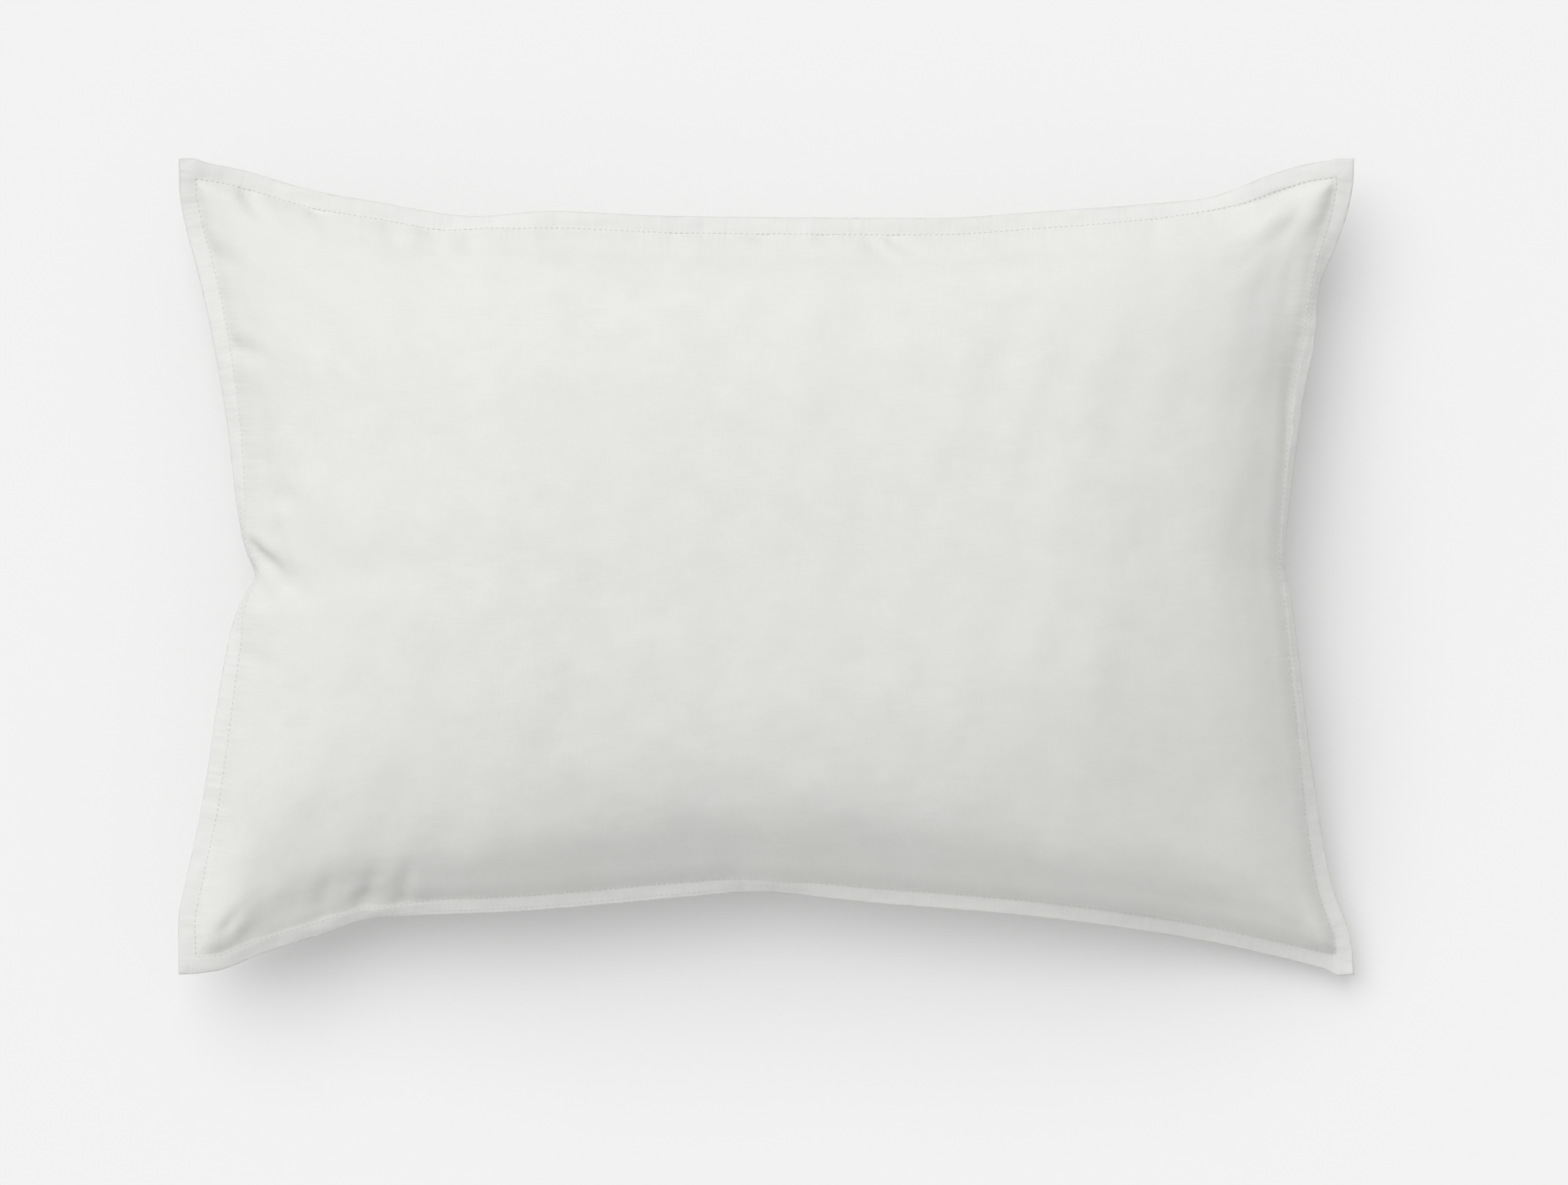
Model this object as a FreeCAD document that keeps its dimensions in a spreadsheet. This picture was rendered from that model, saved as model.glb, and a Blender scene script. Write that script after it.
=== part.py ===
import FreeCAD, Part
import math
import os
import Sketcher

# A 50 x 70 cm bed pillow, lying flat.  Two ticking panels are joined all round by a narrow
# flat flange and crowned above and below it by the filling.
# Frame: origin on the resting surface under the middle of the pillow, +X along the long
# side, +Y to the back, +Z up.  Millimetres.

document = FreeCAD.newDocument("bed_pillow")
sheet = document.addObject("Spreadsheet::Sheet", "dims")

# The driving dimensions.
DIMENSIONS = {
    # Outline of the flange: corner to corner, and how far each side pulls in between them.
    "corner_span_x": 692.0,
    "corner_span_y": 480.0,
    "pull_in_back": 34.0,
    "pull_in_front": 46.0,
    "pull_in_left": 44.0,
    "pull_in_right": 40.0,
    # Heights above the resting surface.
    "seam_height": 70.0,
    "crown_height": 160.0,
    # The flange: two plies of ticking on each side of a gap that holds the hidden threads.
    "flange_width": 10.0,
    "ticking_thickness": 0.6,
    "thread_gap": 0.4,
    # The filling stays this far inside the ticking.
    "fill_clearance": 0.4,
    # Rows of thread: how far each lies in from the outer edge, and how wide and thick it is.
    "joining_inset": 1.0,
    "joining_width": 0.5,
    "overlock_inset": 4.5,
    "overlock_width": 2.5,
    "topstitch_inset": 9.2,
    "topstitch_width": 0.5,
    "thread_height": 0.3,
    # The row that closes the filling opening, on the front side.
    "closing_inset": 2.4,
    "closing_start_x": -233.0,
    "closing_length": 224.0,
    # The blank label that hangs from the right-hand seam, under the flange.
    "label_inset": 7.6,
    "label_width": 32.0,
    "label_drop": 44.0,
    "label_thickness": 0.5,
    "label_middle_y": -60.0,
}

# Contour levels of the crown and of the belly.  Each has three fractions: how far in from
# the seam (of half the short span), how far from the seam plane to the top or the bottom,
# and how much of the side's pull-in is left (negative: the side bows outwards).
CROWN_LEVELS = [
    (0.000, 0.00, 1.00),
    (0.022, 0.24, 0.94),
    (0.080, 0.50, 0.78),
    (0.185, 0.73, 0.50),
    (0.350, 0.89, 0.12),
    (0.540, 0.97, -0.20),
    (0.720, 1.00, -0.30),
]
BELLY_LEVELS = [
    (0.000, 0.00, 1.00),
    (0.022, 0.26, 0.94),
    (0.085, 0.55, 0.76),
    (0.190, 0.82, 0.48),
    (0.330, 1.00, 0.15),
]
SIDES = ("back", "left", "front", "right")


def fill_sheet():
    """Write the driving dimensions and the contour levels to the spreadsheet."""
    cells = dict(DIMENSIONS)
    for part_name, levels in (("crown", CROWN_LEVELS), ("belly", BELLY_LEVELS)):
        for number, (inset, rise, bow) in enumerate(levels):
            cells[f"{part_name}_inset_{number}"] = inset
            cells[f"{part_name}_rise_{number}"] = rise
            cells[f"{part_name}_bow_{number}"] = bow
    for row, (alias, value) in enumerate(cells.items(), start=1):
        sheet.set(f"A{row}", alias)
        sheet.set(f"B{row}", str(value))
        sheet.setAlias(f"B{row}", alias)
    document.recompute()


def cell(alias):
    """The expression that reads one cell of the sheet."""
    return f"<<dims>>.{alias}"


def number_of(expression):
    """The present value of an expression."""
    return float(sheet.evalExpression(expression))


def new_body(label):
    body = document.addObject("PartDesign::Body", label)
    body.Label = label
    return body


def sketch_at(body, name, elevation):
    """An empty sketch parallel to the body's XY plane, at an elevation given as an expression."""
    planes = body.Origin.OriginFeatures
    sketch = body.newObject("Sketcher::SketchObject", name)
    sketch.AttachmentSupport = [(plane, "") for plane in planes if plane.Role == "XY_Plane"]
    sketch.MapMode = "FlatFace"
    sketch.setExpression("AttachmentOffset.Base.z", elevation)
    return sketch


def add_constraint(sketch, name, expression, *definition):
    """A dimension of the sketch, bound to an expression."""
    constraint = Sketcher.Constraint(*definition, number_of(expression))
    index = sketch.addConstraint(constraint)
    sketch.renameConstraint(index, name)
    sketch.setExpression(f"Constraints.{name}", expression)


def arc_radius(half_chord, sag):
    return f"({half_chord}^2 + ({sag})^2) / (2 * abs({sag}))"


def add_bowed_side(sketch, start, end, outward, sag):
    """Add one arc from start to end, bowed inwards by sag, or outwards if sag is negative.

    An arc of a sketch runs anticlockwise about its own centre, so a side that bows inwards is
    drawn from its end to its start.  Returns the arc and the numbers of its two end points.
    """
    half_chord = (end - start).Length / 2
    radius = (half_chord ** 2 + sag ** 2) / (2 * abs(sag))
    towards_centre = outward if sag > 0 else -outward
    centre = (start + end) / 2 + towards_centre * (radius - abs(sag))
    tail, head = (end, start) if sag > 0 else (start, end)
    tail_angle = math.atan2(tail.y - centre.y, tail.x - centre.x)
    head_angle = math.atan2(head.y - centre.y, head.x - centre.x)
    if head_angle < tail_angle:
        head_angle += 2 * math.pi
    circle = Part.Circle(centre, FreeCAD.Vector(0, 0, 1), radius)
    arc = sketch.addGeometry(Part.ArcOfCircle(circle, tail_angle, head_angle), False)
    return (arc, 2, 1) if sag > 0 else (arc, 1, 2)


def draw_bowed_rectangle(sketch, inset, bow, tag=""):
    """Draw a closed outline of four arcs, one per side, that meet at the corners.

    inset: how far the corners lie inside the flange's own corners, in X and in Y.
    bow: the part of each side's pull-in that the side keeps.
    """
    half_x = f"({cell('corner_span_x')} / 2 - ({inset}))"
    half_y = f"({cell('corner_span_y')} / 2 - ({inset}))"
    reach_x = number_of(half_x)
    reach_y = number_of(half_y)
    # Anticlockwise from the back right corner, so that each side ends where the next begins.
    corners = [(1, 1), (-1, 1), (-1, -1), (1, -1)]
    outward = {"back": (0, 1), "left": (-1, 0), "front": (0, -1), "right": (1, 0)}
    arcs = []
    for side, first, second in zip(SIDES, corners, corners[1:] + corners[:1]):
        start = FreeCAD.Vector(first[0] * reach_x, first[1] * reach_y, 0)
        end = FreeCAD.Vector(second[0] * reach_x, second[1] * reach_y, 0)
        sag = number_of(f"{cell('pull_in_' + side)} * ({bow})")
        arcs.append(add_bowed_side(sketch, start, end, FreeCAD.Vector(*outward[side], 0), sag))
    for (arc, _, last), (following, first, _) in zip(arcs, arcs[1:] + arcs[:1]):
        sketch.addConstraint(Sketcher.Constraint("Coincident", arc, last, following, first))
    for index, (sign_x, sign_y) in enumerate(corners):
        point = arcs[index][:2]
        origin = (-1, 1)
        across = (*origin, *point) if sign_x > 0 else (*point, *origin)
        along = (*origin, *point) if sign_y > 0 else (*point, *origin)
        add_constraint(sketch, f"corner{index}_x{tag}", half_x, "DistanceX", *across)
        add_constraint(sketch, f"corner{index}_y{tag}", half_y, "DistanceY", *along)
    for index, side in enumerate(SIDES):
        half_chord = half_x if side in ("back", "front") else half_y
        sag = f"{cell('pull_in_' + side)} * ({bow})"
        add_constraint(sketch, f"radius_{side}{tag}", arc_radius(half_chord, sag),
                       "Radius", arcs[index][0])


def pad_up(body, sketch, name, length):
    pad = body.newObject("PartDesign::Pad", name)
    pad.Profile = sketch
    pad.setExpression("Length", length)
    return pad


def loft_levels(body, name, kind, levels, skin, start, direction):
    """Loft through the contour levels of the crown or the belly.

    kind: "Additive" or "Subtractive".  skin: how far inside the outer surface it runs.
    start: elevation of the first contour.  direction: +1 for the crown, -1 for the belly.
    """
    family = "crown" if direction > 0 else "belly"
    if direction > 0:
        depth = f"({cell('crown_height')} - {cell('seam_height')})"
    else:
        depth = cell("seam_height")
    sections = []
    for number in range(len(levels)):
        inset = (f"{cell('flange_width')} + ({skin}) + "
                 f"{cell(f'{family}_inset_{number}')} * {cell('corner_span_y')} / 2")
        rise = f"({cell(f'{family}_rise_{number}')} * {depth} - ({skin}))"
        sign = "+" if direction > 0 else "-"
        elevation = f"{cell('seam_height')} {sign} {rise}" if number else start
        sketch = sketch_at(body, f"{name}_contour_{number}", elevation)
        draw_bowed_rectangle(sketch, inset, cell(f"{family}_bow_{number}"))
        sections.append(sketch)
    document.recompute()
    loft = body.newObject(f"PartDesign::{kind}Loft", name)
    loft.Profile = sections[0]
    loft.Sections = sections[1:]
    loft.Ruled = False
    return loft


def make_panel(label, direction):
    """One ticking panel: its half of the flange, and the skin over its half of the filling."""
    body = new_body(label)
    levels = CROWN_LEVELS if direction > 0 else BELLY_LEVELS
    half_gap = f"{cell('thread_gap')} / 2"
    plies = f"2 * {cell('ticking_thickness')}"
    if direction > 0:
        facing = f"{cell('seam_height')} + {half_gap}"
        flange_base = facing
    else:
        facing = f"{cell('seam_height')} - {half_gap}"
        flange_base = f"{facing} - {plies}"
    outline = sketch_at(body, f"{label}_flange_outline", flange_base)
    draw_bowed_rectangle(outline, "0", "1")
    pad_up(body, outline, f"{label}_flange", plies)
    loft_levels(body, f"{label}_outside", "Additive", levels, "0", facing, direction)
    document.recompute()
    before = body.Shape.Volume
    loft_levels(body, f"{label}_inside", "Subtractive", levels, cell("ticking_thickness"),
                facing, direction)
    document.recompute()
    if body.Shape.Volume >= before:
        raise RuntimeError(f"{label}: the inside was not hollowed out")
    return body


def make_fill():
    """The filling: one solid that swells above and below the seam plane, inside the ticking."""
    body = new_body("feather_fill")
    skin = f"{cell('ticking_thickness')} + {cell('fill_clearance')}"
    for direction, levels in ((1, CROWN_LEVELS), (-1, BELLY_LEVELS)):
        name = "fill_crown" if direction > 0 else "fill_belly"
        loft_levels(body, name, "Additive", levels, skin, cell("seam_height"), direction)
        document.recompute()
    return body


def make_thread_ring(label, inset, width, base, height):
    """A row of stitches that runs all round the flange, as one flat ring of thread."""
    body = new_body(label)
    sketch = sketch_at(body, f"{label}_outline", base)
    draw_bowed_rectangle(sketch, inset, "1", "_outer")
    draw_bowed_rectangle(sketch, f"({inset}) + ({width})", "1", "_inner")
    pad_up(body, sketch, f"{label}_row", height)
    return body


def make_closing_row():
    """The short row that closes the filling opening: a strip of thread on the front flange."""
    label = "opening_closing_thread"
    body = new_body(label)
    top_of_flange = (f"{cell('seam_height')} + {cell('thread_gap')} / 2 + "
                     f"2 * {cell('ticking_thickness')}")
    ring = sketch_at(body, f"{label}_outline", top_of_flange)
    draw_bowed_rectangle(ring, cell("closing_inset"), "1", "_outer")
    draw_bowed_rectangle(ring, f"{cell('closing_inset')} + {cell('joining_width')}", "1", "_inner")
    pad_up(body, ring, f"{label}_row", cell("thread_height"))
    document.recompute()

    window = document.addObject("Part::Box", "closing_window")
    window.setExpression("Length", cell("closing_length"))
    window.setExpression("Width", f"{cell('corner_span_y')} / 2")
    window.setExpression("Height", f"2 * {cell('thread_height')}")
    window.setExpression("Placement.Base.x", cell("closing_start_x"))
    window.setExpression("Placement.Base.y", f"-{cell('corner_span_y')} / 2")
    window.setExpression("Placement.Base.z", f"{top_of_flange} - {cell('thread_height')} / 2")
    body.Label = "closing_ring"
    row = document.addObject("Part::Common", "closing_row")
    row.Base = body
    row.Tool = window
    row.Label = label
    return row


def make_label():
    """The blank care label: a thin strip that hangs from the seam under the right flange."""
    label = document.addObject("Part::Box", "care_label_box")
    label.Label = "care_label"
    flange_underside = (f"{cell('seam_height')} - {cell('thread_gap')} / 2 - "
                        f"2 * {cell('ticking_thickness')}")
    # Where the side's arc lies at the label's middle: the sag left at that distance from the
    # middle of the side, for an arc as flat as this one.
    off_middle = f"(2 * {cell('label_middle_y')} / {cell('corner_span_y')})"
    edge = (f"{cell('corner_span_x')} / 2 - "
            f"{cell('pull_in_right')} * (1 - {off_middle}^2)")
    label.setExpression("Length", cell("label_thickness"))
    label.setExpression("Width", cell("label_width"))
    label.setExpression("Height", cell("label_drop"))
    label.setExpression("Placement.Base.x", f"{edge} - {cell('label_inset')}")
    label.setExpression("Placement.Base.y", f"{cell('label_middle_y')} - {cell('label_width')} / 2")
    label.setExpression("Placement.Base.z", f"{flange_underside} - {cell('label_drop')}")
    return label


def make_threads():
    """The four rows that run all round: two hidden in the flange and two on its faces."""
    seam = cell("seam_height")
    half_gap = f"{cell('thread_gap')} / 2"
    plies = f"2 * {cell('ticking_thickness')}"
    thread = cell("thread_height")
    rows = [
        ("joining_seam_thread", "joining", f"{seam} - {half_gap}", cell("thread_gap")),
        ("overlock_thread", "overlock", f"{seam} - {half_gap}", cell("thread_gap")),
        ("topstitch_needle_thread", "topstitch", f"{seam} + {half_gap} + {plies}", thread),
        ("topstitch_bobbin_thread", "topstitch", f"{seam} - {half_gap} - {plies} - {thread}",
         thread),
    ]
    return [make_thread_ring(label, cell(f"{row}_inset"), cell(f"{row}_width"), base, height)
            for label, row, base, height in rows]


def check_and_export(pieces):
    """Stop on any failed object; otherwise write one STEP file per piece."""
    document.recompute()
    for item in document.Objects:
        if "Invalid" in item.State or "Error" in item.State:
            raise RuntimeError(f"{item.Label} failed: {item.State}")
    for piece in pieces:
        shape = piece.Shape
        if shape.isNull() or not shape.isValid() or not shape.Solids:
            raise RuntimeError(f"{piece.Label} is not a valid solid")
    os.makedirs("parts", exist_ok=True)
    for piece in pieces:
        piece.Shape.exportStep(f"parts/{piece.Label}.step")
        box = piece.Shape.BoundBox
        print(f"{piece.Label}: {len(piece.Shape.Solids)} solid, {piece.Shape.Volume:.1f} mm3, "
              f"x {box.XMin:.2f}..{box.XMax:.2f}, y {box.YMin:.2f}..{box.YMax:.2f}, "
              f"z {box.ZMin:.2f}..{box.ZMax:.2f}")


fill_sheet()
pieces = [make_panel("top_panel", 1), make_panel("bottom_panel", -1), make_fill()]
pieces += make_threads()
pieces += [make_closing_row(), make_label()]
check_and_export(pieces)
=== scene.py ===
"""A feather bed pillow of 50 x 70 cm, seen from straight above.

Two flat panels of ticking, joined all round by a narrow flange, are simulated as cloth: the
flange is held on the full pillow's outline while the filling's pressure swells the panels.
The result becomes the two panels, with their turned edges, creases, stitching, a blank label
and the filling inside.
"""
import math

import bpy
import numpy as np
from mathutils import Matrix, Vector
from mathutils.bvhtree import BVHTree


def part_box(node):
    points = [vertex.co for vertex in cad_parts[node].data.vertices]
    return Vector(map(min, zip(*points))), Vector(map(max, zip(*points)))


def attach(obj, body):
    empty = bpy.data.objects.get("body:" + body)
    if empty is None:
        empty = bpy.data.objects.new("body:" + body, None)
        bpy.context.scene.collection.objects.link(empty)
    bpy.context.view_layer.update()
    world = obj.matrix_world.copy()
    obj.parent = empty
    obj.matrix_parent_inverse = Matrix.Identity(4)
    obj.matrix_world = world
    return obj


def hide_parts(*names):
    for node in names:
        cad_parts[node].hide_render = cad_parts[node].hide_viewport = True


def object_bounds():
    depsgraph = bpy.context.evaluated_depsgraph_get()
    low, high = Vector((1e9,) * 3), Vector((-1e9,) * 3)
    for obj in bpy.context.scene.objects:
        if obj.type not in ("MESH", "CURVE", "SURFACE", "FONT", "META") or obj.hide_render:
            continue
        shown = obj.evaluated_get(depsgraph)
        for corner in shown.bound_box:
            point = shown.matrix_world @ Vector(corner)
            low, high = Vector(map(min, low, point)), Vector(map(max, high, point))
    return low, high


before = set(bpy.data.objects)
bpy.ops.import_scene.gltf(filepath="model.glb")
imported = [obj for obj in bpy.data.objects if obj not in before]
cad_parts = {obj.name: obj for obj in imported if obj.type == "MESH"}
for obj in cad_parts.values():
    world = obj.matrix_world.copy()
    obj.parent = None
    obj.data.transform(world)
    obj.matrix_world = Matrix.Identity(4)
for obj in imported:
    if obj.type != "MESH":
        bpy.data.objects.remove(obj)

cad_low, cad_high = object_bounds()
MM = 0.001

# ---- sizes, from the frame

HALF_X = cad_high.x
HALF_Y = cad_high.y
CROWN_Z = cad_high.z
SEAM_Z = (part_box("top_panel")[0].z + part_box("bottom_panel")[1].z) / 2
LABEL_LOW, LABEL_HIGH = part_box("care_label")

# The flat panels before filling, and the flange that the topstitching makes.
FLAT_X = 700 * MM
FLAT_Y = 500 * MM
FLANGE = 10 * MM
CELL = 6.2 * MM
FLANGE_ROWS = 2

# How far each side of the filled pillow pulls in from the line between its corners, at points
# along it from left to right or from front to back.  Millimetres from the middle.
PULL_IN = {
    "back": [(-346, 0), (-316, 5), (-262, 20), (-235, 24.5), (-170, 34), (-130, 31), (-50, 34),
             (100, 35), (165, 31), (258, 23.5), (275, 18.5), (300, 8.5), (325, 2), (346, 0)],
    "front": [(-346, 0), (-325, 1.5), (-300, 11), (-260, 24), (-232, 33), (-150, 36.5),
              (-50, 45), (-5, 48.5), (15, 47), (50, 43), (150, 34.5), (250, 21), (300, 10.5),
              (330, 3), (346, 0)],
    "left": [(-240, 0), (-210, -0.5), (-187, 3.7), (-141, 13.7), (-50, 28), (-27, 34),
             (-15, 40), (-5, 46.5), (5, 41), (19, 37), (87, 28), (133, 20), (178, 10),
             (201, 3.7), (224, 0), (240, 0)],
    "right": [(-240, 0), (-221, 1.5), (-187, 13), (-118, 24.5), (-61, 31.5), (-20, 36.5),
              (3, 41), (15, 40), (99, 29.5), (140, 22), (158, 21.3), (167, 19.5), (190, 10),
              (213, 2.5), (230, 0), (240, 0)],
}


# ---- the outline

def smooth_step(value):
    value = np.clip(value, 0, 1)
    return value * value * (3 - 2 * value)


def monotone_curve(points, wanted):
    """A smooth curve through the points that never overshoots them (Fritsch-Carlson)."""
    x, y = np.array(points, float).T
    step = np.diff(x)
    slope = np.diff(y) / step
    tangent = np.zeros(len(x))
    for i in range(1, len(x) - 1):
        if slope[i - 1] * slope[i] > 0:
            before = 2 * step[i] + step[i - 1]
            after = step[i] + 2 * step[i - 1]
            tangent[i] = (before + after) / (before / slope[i - 1] + after / slope[i])
    tangent[0], tangent[-1] = slope[0], slope[-1]
    k = np.clip(np.searchsorted(x, wanted) - 1, 0, len(step) - 1)
    t = (wanted - x[k]) / step[k]
    return ((1 + 2 * t) * (1 - t) ** 2 * y[k] + t * (1 - t) ** 2 * step[k] * tangent[k]
            + t * t * (3 - 2 * t) * y[k + 1] + t * t * (t - 1) * step[k] * tangent[k + 1])


def stations(flat):
    """Grid lines across a flat panel: the flange's rows, then the even cells between them."""
    seam = flat / 2 - FLANGE
    cells = round(2 * seam / CELL)
    flange = -flat / 2 + FLANGE / FLANGE_ROWS * np.arange(FLANGE_ROWS)
    return np.concatenate([flange, np.linspace(-seam, seam, cells + 1), -flange[::-1]])


FLAT_XS = stations(FLAT_X)
FLAT_YS = stations(FLAT_Y)
LAST_X = len(FLAT_XS) - 1
LAST_Y = len(FLAT_YS) - 1


def pull_in(side, along):
    return monotone_curve(PULL_IN[side], along / MM) * MM


def side_curve(side):
    """Where the outer edge of one side lies when the pillow is full, one point per grid line."""
    out = 1 if side in ("back", "right") else -1
    if side in ("back", "front"):
        along = FLAT_XS / (FLAT_X / 2) * HALF_X
        return np.stack([along, out * (HALF_Y - pull_in(side, along))], 1)
    along = FLAT_YS / (FLAT_Y / 2) * HALF_Y
    return np.stack([out * (HALF_X - pull_in(side, along)), along], 1)


# How far the flange is turned down from flat, in degrees, along each side (in millimetres).
TURN_DOWN = {
    "left": [(-250, 0), (-197, 12), (-98, 24), (-49, 38), (-24, 72), (-4, 84), (18, 80),
             (37, 62), (74, 44), (120, 26), (174, 6), (250, 0)],
    "right": [(-250, 6), (-190, 28), (-130, 46), (-95, 56), (-55, 60), (-20, 66), (3, 74),
              (30, 66), (70, 60), (120, 44), (150, 48), (168, 62), (190, 38), (221, 14),
              (250, 0)],
    "back": [(-350, 0), (-200, 12), (-168, 46), (-140, 16), (-60, 9), (60, 9), (180, 14),
             (240, 34), (262, 42), (290, 12), (350, 0)],
    "front": [(-350, 6), (-300, 34), (-260, 40), (-226, 54), (-190, 26), (-90, 24), (-30, 30),
              (4, 50), (40, 30), (120, 26), (290, 28), (350, 6)],
}


def turn_down(side):
    """The flange's turn down from flat along one side, in radians, one per grid line."""
    flat = FLAT_XS if side in ("back", "front") else FLAT_YS
    return np.radians(monotone_curve(TURN_DOWN[side], flat / MM))


def inward_normals(curve):
    tangent = np.gradient(curve, axis=0)
    tangent /= np.linalg.norm(tangent, axis=1)[:, None]
    normal = np.stack([-tangent[:, 1], tangent[:, 0]], 1)
    middle = len(curve) // 2
    return normal if normal[middle] @ curve[middle] < 0 else -normal


def flange_target():
    """Where every grid point of the flange lies when the pillow is full; elsewhere NaN."""
    seam = FLANGE_ROWS
    target = np.full((LAST_X + 1, LAST_Y + 1, 2), np.nan)
    normals = {side: inward_normals(side_curve(side)) for side in PULL_IN}
    turned = target.swapaxes(0, 1)
    for side, grid, edge, row in (("back", turned, -1, -1 - seam), ("front", turned, 0, seam),
                                  ("left", target, 0, seam), ("right", target, -1, -1 - seam)):
        width = FLANGE * np.cos(turn_down(side))[:, None]
        grid[edge] = side_curve(side)
        grid[row] = side_curve(side) + width * normals[side]
    for side_x, i, edge_i in (("left", seam, 0), ("right", LAST_X - seam, LAST_X)):
        for side_y, j, edge_j in (("front", seam, 0), ("back", LAST_Y - seam, LAST_Y)):
            first, second = normals[side_x][j], normals[side_y][i]
            both = (first + second) / (1 + first @ second)
            target[i, j] = target[edge_i, edge_j] + FLANGE * both
    for grid in (target, turned):
        grid[1] = (grid[0] + grid[2]) / 2
        grid[-2] = (grid[-1] + grid[-3]) / 2
    return target * (1 - flange_heights()[..., None] / OUTLINE_SEEN_FROM)


# ---- the cloth simulation

CLOTH = {"quality": 5, "mass": 0.1, "tension_stiffness": 40, "compression_stiffness": 20,
         "shear_stiffness": 5, "bending_stiffness": 0.5}
CLOTH_FRAMES = 45
START_CROWN = 100 * MM
START_ROUGHNESS = 0.4 * MM
PLAIN_CROWN = 75 * MM
# The filling's pressure, its share at the seam, and how far in from there it is whole.
PUFF_PRESSURE = 8.0
PUFF_AT_SEAM = 0.7
PUFF_RISE = 40 * MM
# How far each corner hangs below the seam plane: left then right, each front then back.
CORNER_DROOP = np.array([[12, 26], [50, 22]]) * MM
DROOP_REACH = 125 * MM
# The tips of the two back corners curl up again.
TIP_CURL = 7 * MM
CURL_REACH = 26 * MM
# The gentle waves of the flange.
LONG_WAVE, SHORT_WAVE = 1.6 * MM, 1.2 * MM
# The outline is as seen from this many metres above the seam; lower parts reach out further.
OUTLINE_SEEN_FROM = 2.53

flat_x, flat_y = np.meshgrid(FLAT_XS, FLAT_YS, indexing="ij")
inside_seam = np.minimum(FLAT_X / 2 - FLANGE - np.abs(flat_x),
                         FLAT_Y / 2 - FLANGE - np.abs(flat_y))
HAIR = 1e-6
is_flange = inside_seam < HAIR


def flange_heights():
    """Heights of the flange over the seam plane: drooping corners, a wavy edge, turned sides."""
    from_corner = np.hypot(FLAT_X / 2 - np.abs(flat_x), FLAT_Y / 2 - np.abs(flat_y))
    corner_drop = CORNER_DROOP[(flat_x > 0).astype(int), (flat_y > 0).astype(int)]
    droop = -corner_drop * np.exp(-(from_corner / DROOP_REACH) ** 2)
    curl = TIP_CURL * np.exp(-(from_corner / CURL_REACH) ** 2) * (flat_y > 0)
    wave = (LONG_WAVE * np.sin(flat_x * 37 + 1.3) * np.cos(flat_y * 31 + 0.4)
            + SHORT_WAVE * np.sin(flat_x * 71 + flat_y * 53))
    outward = np.clip(-inside_seam / FLANGE, 0, 1)
    along_x = np.where(flat_y > 0, turn_down("back")[:, None], turn_down("front")[:, None])
    along_y = np.where(flat_x > 0, turn_down("right")[None, :], turn_down("left")[None, :])
    on_long_side = FLAT_Y / 2 - np.abs(flat_y) < FLAT_X / 2 - np.abs(flat_x)
    turn = np.where(on_long_side, along_x, along_y)
    return droop + curl + wave - FLANGE * np.sin(turn) * outward


def plain_shape(crown=PLAIN_CROWN):
    """Both panels on the drawn-in outline, evenly crowned, with no wrinkles."""
    target = flange_target()
    points = np.stack([flat_x, flat_y, flange_heights()], -1)
    points[is_flange, :2] = target[is_flange]
    across = flat_x / (FLAT_X / 2 - FLANGE)
    along = flat_y / (FLAT_Y / 2 - FLANGE)
    inner = slice(FLANGE_ROWS, -FLANGE_ROWS)
    u = (across[inner, inner, None] + 1) / 2
    v = (along[inner, inner, None] + 1) / 2
    rim = points[inner, inner]
    left, right, front, back = rim[:1], rim[-1:], rim[:, :1], rim[:, -1:]
    corners = ((1 - u) * (1 - v) * rim[0, 0] + u * (1 - v) * rim[-1, 0]
               + (1 - u) * v * rim[0, -1] + u * v * rim[-1, -1])
    points[inner, inner] = ((1 - u) * left + u * right + (1 - v) * front + v * back - corners)
    height = crown * (np.clip(1 - across ** 2, 0, 1) * np.clip(1 - along ** 2, 0, 1)) ** 0.5
    lower = points.copy()
    points[..., 2] += height
    lower[..., 2] -= height
    return points, lower


def make_cloth():
    """Both panels as one mesh, joined at the seam, with the flange outside it.

    The mesh starts evenly crowned; its shape at rest is the two flat panels.
    Returns the object and the two grids of vertex numbers, top and bottom.
    """
    top = np.arange(flat_x.size).reshape(flat_x.shape)
    bottom = top.copy()
    bottom[~is_flange] = np.arange((~is_flange).sum()) + flat_x.size
    upper, lower = plain_shape(START_CROWN)
    random = np.random.default_rng(7)
    for panel in (upper, lower):
        panel[~is_flange, 2] += random.normal(0, START_ROUGHNESS, (~is_flange).sum())
    flat = np.stack([flat_x, flat_y, np.zeros_like(flat_x)], -1)
    points = np.concatenate([flat.reshape(-1, 3), flat[~is_flange]])
    crowned = np.concatenate([upper.reshape(-1, 3), lower[~is_flange]])
    faces = grid_faces(top)
    inner = slice(FLANGE_ROWS, -FLANGE_ROWS)
    faces += [face[::-1] for face in grid_faces(bottom[inner, inner])]
    cloth = mesh_object("cloth", points, faces)

    pinned = cloth.vertex_groups.new(name="pinned")
    pinned.add(top[is_flange].tolist(), 1.0, "ADD")
    puffed = cloth.vertex_groups.new(name="puffed")
    weight = PUFF_AT_SEAM + (1 - PUFF_AT_SEAM) * smooth_step(inside_seam / PUFF_RISE)
    for grid in (top, bottom):
        for index in np.argwhere(inside_seam > -HAIR):
            puffed.add([int(grid[tuple(index)])], float(weight[tuple(index)]), "REPLACE")

    cloth.shape_key_add(name="flat")
    start = cloth.shape_key_add(name="crowned")
    start.data.foreach_set("co", crowned.ravel())
    start.value = 1
    return cloth, top, bottom


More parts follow.
